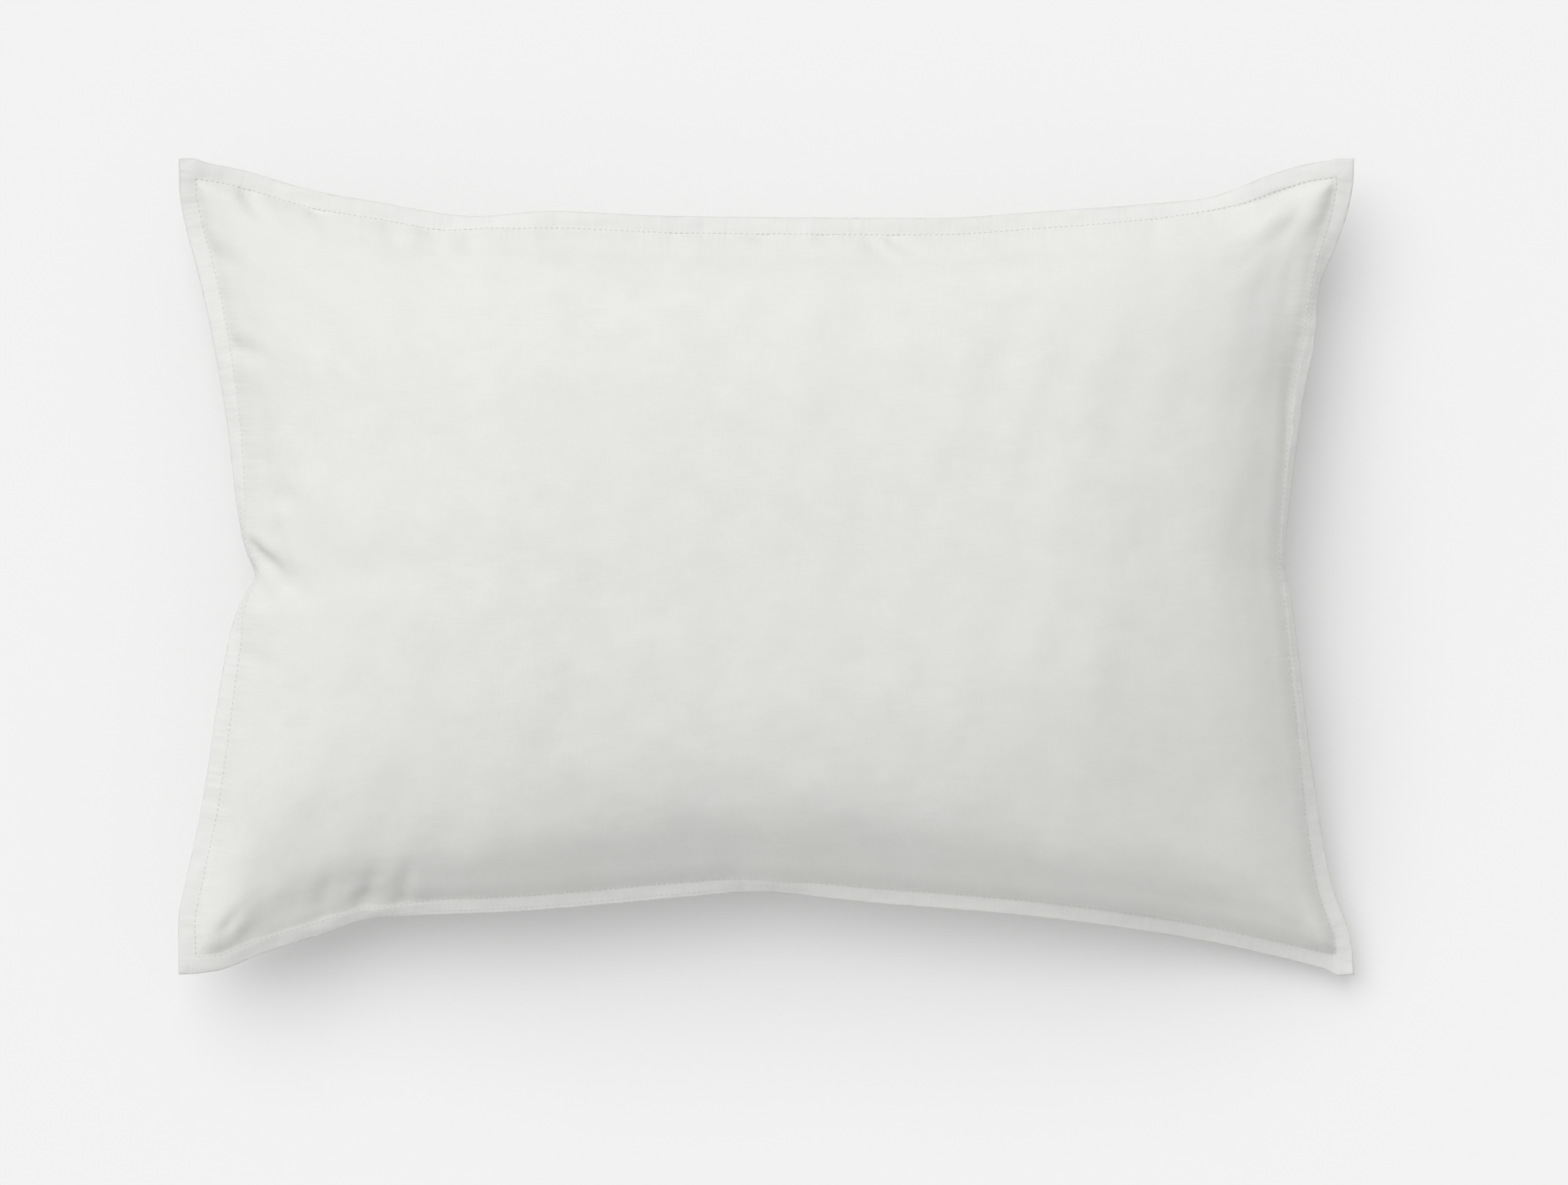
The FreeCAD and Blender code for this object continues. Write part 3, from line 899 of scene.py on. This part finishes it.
def make_label():
    """A blank satin tape, folded in half and caught in the seam under the right flange."""
    across = np.linspace(LABEL_LOW.y, LABEL_HIGH.y, LABEL_COLUMNS)
    drop = LABEL_HIGH.z - LABEL_LOW.z
    layer, side = np.linspace(0, 0.97, LABEL_ROWS), np.full(LABEL_ROWS, 0.5)
    down = np.concatenate([layer, [0.99, 1.0, 0.99], layer[::-1]])
    gap = np.concatenate([side, [0.42, 0, -0.42], -side]) * LABEL_GAP
    tree = surface_tree(bottom_panel)
    steps = np.linspace(0, 1, LABEL_STEPS)
    seam_x, out, heights = zip(*(label_hang(tree, y, steps * drop) for y in across))
    out = np.maximum.accumulate(np.median(out, axis=0))
    x = np.array(seam_x)[:, None] + np.interp(down, steps, out)
    z = np.stack([np.interp(down, steps, height) for height in heights])
    wave = LABEL_WAVE * np.sin((across[:, None] - LABEL_LOW.y) * 90) * down
    curl = LABEL_CURL * down ** 2 + wave
    y = np.broadcast_to(across[:, None], x.shape)
    points = np.stack([x + curl - gap, y, z], -1)
    label = mesh_object("blank_care_label", points.reshape(-1, 3),
                        grid_faces(np.arange(x.size).reshape(x.shape)))
    thick = label.modifiers.new("Thickness", "SOLIDIFY")
    thick.thickness = LABEL_THICKNESS
    rounded = label.modifiers.new("Rounded", "SUBSURF")
    rounded.levels = 1
    apply_modifiers(label)
    label.data.shade_smooth()
    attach(label, "root")
    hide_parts("care_label")
    return label


# The filling lies this far inside the ticking and has lumps; its creases are this much deeper
# than the ticking's; and it draws in by this share at the seam, less and less up to a height.
FILLING_SKIN, FILLING_LUMPS = 2.2 * MM, 0.7 * MM
FILLING_CREASES = 1.3
FILLING_DRAW, FILLING_DRAW_HEIGHT = 0.012, 40 * MM


def make_filling():
    """The feathers and down: one lumpy mass, just inside the ticking all round."""
    inner = slice(FLANGE_ROWS + 1, -FLANGE_ROWS - 1)
    seam_height = (top_points[inner, inner, 2] + bottom_points[inner, inner, 2]) / 2
    plan = np.stack([flat_x, flat_y], -1)[inner, inner].reshape(-1, 2)
    lumps = FILLING_LUMPS * random_waves(plan, 21, 9 * MM, 22 * MM).reshape(seam_height.shape)
    shells = []
    for points, side in ((top_points, 1), (bottom_points, -1)):
        shell = points[inner, inner].copy()
        depth = side * (shell[..., 2] - seam_height)
        plan = shell[..., :2].reshape(-1, 2)
        creases = crease_depth(plan, CREASES + HOLLOWS).reshape(depth.shape)
        room = FILLING_SKIN + FILLING_CREASES * np.maximum(creases, 0) * (side > 0)
        inward = np.minimum(room - lumps * side, depth * 0.5)
        shell[..., 2] -= side * inward
        draw = FILLING_DRAW * smooth_step(1 - depth[..., None] / FILLING_DRAW_HEIGHT)
        shell[..., :2] *= 1 - draw
        shells.append(shell)
    upper, lower = shells
    rim = np.ones(seam_height.shape, bool)
    rim[1:-1, 1:-1] = False
    upper[rim] = (upper[rim] + lower[rim]) / 2
    numbers = np.arange(rim.size).reshape(rim.shape)
    below = numbers.copy()
    below[~rim] = rim.size + np.arange((~rim).sum())
    faces = grid_faces(numbers) + [face[::-1] for face in grid_faces(below)]
    points = np.concatenate([upper.reshape(-1, 3), lower[~rim]])
    filling = mesh_object("feather_filling", points, faces)
    filling.data.shade_smooth()
    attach(filling, "root")
    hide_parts("feather_fill")
    return filling


label = make_label()
filling = make_filling()


# ---- materials

class Nodes:
    """Adds linked shader nodes to a material in one call each."""

    def __init__(self, name):
        self.material = bpy.data.materials.new(name)
        self.material.use_nodes = True
        self.tree = self.material.node_tree
        self.shader = self.tree.nodes["Principled BSDF"]

    def add(self, kind, inputs=None, **settings):
        node = self.tree.nodes.new("ShaderNode" + kind)
        for key, value in settings.items():
            setattr(node, key, value)
        for socket, value in (inputs or {}).items():
            self.feed(node.inputs[socket], value)
        return node

    def feed(self, socket, value):
        if isinstance(value, bpy.types.NodeSocket):
            self.tree.links.new(value, socket)
        else:
            socket.default_value = value

    def surface(self, inputs):
        """Feed the shader's inputs and return the finished material."""
        for name, value in inputs.items():
            self.feed(self.shader.inputs[name], value)
        return self.material

    def math(self, operation, first, second=0.0):
        return self.add("Math", {0: first, 1: second}, operation=operation).outputs[0]

    def mix_colour(self, share, first, second):
        node = self.add("Mix", {"Factor": share}, data_type="RGBA")
        self.feed(node.inputs[6], first)
        self.feed(node.inputs[7], second)
        return node.outputs[2]

    def noise(self, vector, scale, stretch=(1, 1, 1), detail=2.0):
        placed = self.add("Mapping", {"Vector": vector, "Scale": stretch}).outputs[0]
        return self.add("TexNoise", {"Vector": placed, "Scale": scale,
                                     "Detail": detail}).outputs[0]

    def ramp(self, value, low, high, start=0.0, end=1.0):
        return self.add("MapRange", {"Value": value, "From Min": low, "From Max": high,
                                     "To Min": start, "To Max": end}).outputs[0]

    def bump(self, height, distance, strength, under=None):
        node = self.add("Bump", {"Height": height, "Distance": distance, "Strength": strength})
        if under is not None:
            self.feed(node.inputs["Normal"], under)
        return node.outputs[0]


YARN_PITCH = 0.5 * MM


def ticking_material():
    """Closely woven off-white cotton: plain weave, slubs, and a whiter, doubled flange."""
    nodes = Nodes("ticking")
    cloth = nodes.add("UVMap", uv_map="flat_cloth").outputs[0]
    place = nodes.add("SeparateXYZ", {0: cloth})
    warp, weft = (nodes.math("SINE", nodes.math("MULTIPLY", along, 2 * math.pi / YARN_PITCH))
                  for along in place.outputs[:2])
    weave = nodes.math("MULTIPLY", warp, weft)
    slubs = nodes.noise(cloth, 1.0, (55, 1500, 1), 3.0)
    ends = nodes.noise(cloth, 1.0, (1300, 60, 1), 3.0)
    mottle = nodes.noise(cloth, 48.0, (1, 1, 1), 3.0)
    patches = nodes.noise(cloth, 9.0, (1, 1, 1), 2.0)

    tone = nodes.math("ADD", nodes.ramp(slubs, 0.3, 0.7, -0.5, 0.5),
                      nodes.ramp(ends, 0.3, 0.7, -0.3, 0.3))
    tone = nodes.math("ADD", tone, nodes.ramp(mottle, 0.3, 0.7, -0.5, 0.5))
    tone = nodes.ramp(tone, -1.3, 1.3)
    cream = nodes.mix_colour(tone, COTTON_DARK, COTTON_LIGHT)
    cream = nodes.mix_colour(nodes.ramp(patches, 0.35, 0.65, 0, 0.5), cream, COTTON_WARM)

    past_x, past_y = (nodes.math("SUBTRACT", nodes.math("ABSOLUTE", place.outputs[axis]),
                                 flat / 2 - FLANGE) for axis, flat in enumerate((FLAT_X, FLAT_Y)))
    past_seam = nodes.math("MAXIMUM", past_x, past_y)
    on_flange = nodes.ramp(past_seam, 0.0, 1.5 * MM)
    colour = nodes.mix_colour(nodes.math("MULTIPLY", on_flange, 0.6), cream, COTTON_FLANGE)

    fine = nodes.bump(weave, 0.05 * MM, 0.5)
    yarns = nodes.bump(nodes.math("ADD", slubs, ends), 0.07 * MM, 0.5, fine)
    cloudy = nodes.bump(mottle, 0.08 * MM, 0.5, yarns)
    gathers = nodes.add("Mix", {"Factor": nodes.math("GREATER_THAN", past_x, past_y)},
                        data_type="FLOAT")
    nodes.feed(gathers.inputs[2], nodes.noise(cloth, 1.0, (210, 26, 1), 2.0))
    nodes.feed(gathers.inputs[3], nodes.noise(cloth, 1.0, (26, 210, 1), 2.0))
    near_seam = nodes.ramp(past_seam, -14 * MM, -1 * MM)
    height = nodes.math("MULTIPLY", gathers.outputs[0], near_seam)
    return nodes.surface({"Base Color": colour, "Roughness": nodes.ramp(tone, 0, 1, 0.94, 0.84),
                          "Specular IOR Level": 0.25, "Sheen Weight": 0.12, "Sheen Roughness": 0.5,
                          "Normal": nodes.bump(height, 0.8 * MM, 0.7, cloudy)})


def thread_material():
    """White polyester thread with its twist."""
    nodes = Nodes("sewing_thread")
    place = nodes.add("TexCoord").outputs["Object"]
    twist = nodes.add("TexWave", {"Vector": place, "Scale": 900.0, "Distortion": 2.0},
                      bands_direction="DIAGONAL").outputs["Fac"]
    fuzz = nodes.noise(place, 2500.0)
    colour = nodes.mix_colour(twist, (0.58, 0.58, 0.565, 1), (0.76, 0.76, 0.75, 1))
    return nodes.surface({"Base Color": colour, "Roughness": nodes.ramp(fuzz, 0.3, 0.7, 0.5, 0.7),
                          "Sheen Weight": 0.2, "Normal": nodes.bump(twist, 0.08 * MM, 0.6)})


def label_material():
    """Blank white satin tape."""
    nodes = Nodes("satin_tape")
    place = nodes.add("TexCoord").outputs["Object"]
    ribs = nodes.add("TexWave", {"Vector": place, "Scale": 500.0, "Distortion": 0.5},
                     bands_direction="Z").outputs["Fac"]
    cloudy = nodes.noise(place, 120.0)
    colour = nodes.mix_colour(cloudy, (0.80, 0.80, 0.79, 1), (0.88, 0.88, 0.87, 1))
    gloss = nodes.ramp(cloudy, 0.3, 0.7, 0.38, 0.5)
    return nodes.surface({"Base Color": colour, "Roughness": gloss, "Sheen Weight": 0.1,
                          "Normal": nodes.bump(ribs, 0.05 * MM, 0.5)})


def filling_material():
    """Loose white feathers: soft tufts of barbs in two sizes."""
    nodes = Nodes("feathers_and_down")
    place = nodes.add("TexCoord").outputs["Object"]
    tufts = nodes.add("TexVoronoi", {"Vector": place, "Scale": 55.0}).outputs["Distance"]
    barbs = nodes.noise(place, 60.0, (1, 14, 5), 4.0)
    colour = nodes.mix_colour(tufts, (0.84, 0.82, 0.78, 1), (0.66, 0.63, 0.58, 1))
    colour = nodes.mix_colour(nodes.ramp(barbs, 0.3, 0.7, 0, 0.5), colour, (0.90, 0.89, 0.86, 1))
    lower = nodes.bump(tufts, 3.0 * MM, 0.6)
    rough = nodes.ramp(barbs, 0.3, 0.7, 0.85, 1.0)
    return nodes.surface({"Base Color": colour, "Roughness": rough, "Sheen Weight": 0.5,
                          "Normal": nodes.bump(barbs, 0.8 * MM, 0.7, lower)})


def floor_material():
    """Pale studio paper, very slightly uneven, with a painted glow that lightens the shadows on
    it.
    """
    nodes = Nodes("studio_paper")
    place = nodes.add("TexCoord").outputs["Object"]
    grain = nodes.noise(place, 3.0)
    colour = nodes.mix_colour(grain, FLOOR_DARK, FLOOR_LIGHT)
    # The emission is a painted glow, not a lamp: it lightens the floor and the shadows cast on it.
    return nodes.surface({"Base Color": colour, "Roughness": 1.0, "Specular IOR Level": 0.0,
                          "Emission Color": (1, 1, 1, 1), "Emission Strength": FLOOR_PAINTED_GLOW})


COTTON_DARK = (0.650, 0.652, 0.630, 1)
COTTON_LIGHT = (0.725, 0.727, 0.706, 1)
COTTON_WARM = (0.690, 0.686, 0.658, 1)
COTTON_FLANGE = (0.706, 0.708, 0.693, 1)
FLOOR_DARK = (0.688, 0.688, 0.688, 1)
FLOOR_LIGHT = (0.698, 0.698, 0.698, 1)
# Strength of the floor's painted glow, which lightens the shadows on the floor.
FLOOR_PAINTED_GLOW = 0.12


def paint(piece, material):
    piece.data.materials.clear()
    piece.data.materials.append(material)


ticking = ticking_material()
sewing_thread = thread_material()
for panel in (top_panel, bottom_panel):
    paint(panel, ticking)
for thread in threads:
    paint(thread, sewing_thread)
paint(label, label_material())
paint(filling, filling_material())


# ---- floor, light and camera

FLOOR_REACH = 9.0
CAMERA_HEIGHT = 2.6
FRAME_WIDTH = 0.9247
AIM_X, AIM_Y = 10.5 * MM, -15.5 * MM
SENSOR = 36.0
KEY_FROM = (-0.33, 0.47, 0.81)
KEY_SPREAD = math.radians(56)
KEY_STRENGTH = 1.95
SKY_STRENGTH = 0.61


def make_floor():
    corners = np.array([(-1, -1, 0), (1, -1, 0), (1, 1, 0), (-1, 1, 0)]) * FLOOR_REACH
    floor = mesh_object("studio_floor", corners, [[0, 1, 2, 3]])
    paint(floor, floor_material())


def make_lights():
    """One very soft light from the upper left, like a distant softbox, and a pale sky all round.
    """
    key = bpy.data.lights.new("key", "SUN")
    key.angle = KEY_SPREAD
    key.energy = KEY_STRENGTH
    turn = (-Vector(KEY_FROM)).to_track_quat("-Z", "Y").to_euler()
    linked("key", key).rotation_euler = turn
    world = bpy.data.worlds.new("studio")
    world.use_nodes = True
    background = world.node_tree.nodes["Background"]
    background.inputs["Color"].default_value = (1, 1, 1, 1)
    background.inputs["Strength"].default_value = SKY_STRENGTH
    bpy.context.scene.world = world


def make_camera():
    """Straight above, framed so that the seam plane has the width of the whole picture."""
    camera = bpy.data.cameras.new("camera")
    camera.sensor_width = SENSOR
    camera.lens = SENSOR * (CAMERA_HEIGHT - SEAM_Z) / FRAME_WIDTH
    camera.clip_end = 50
    holder = linked("camera", camera)
    holder.location = (AIM_X, AIM_Y, CAMERA_HEIGHT)
    bpy.context.scene.camera = holder


make_floor()
make_lights()
make_camera()
bpy.context.scene.view_settings.view_transform = "Standard"
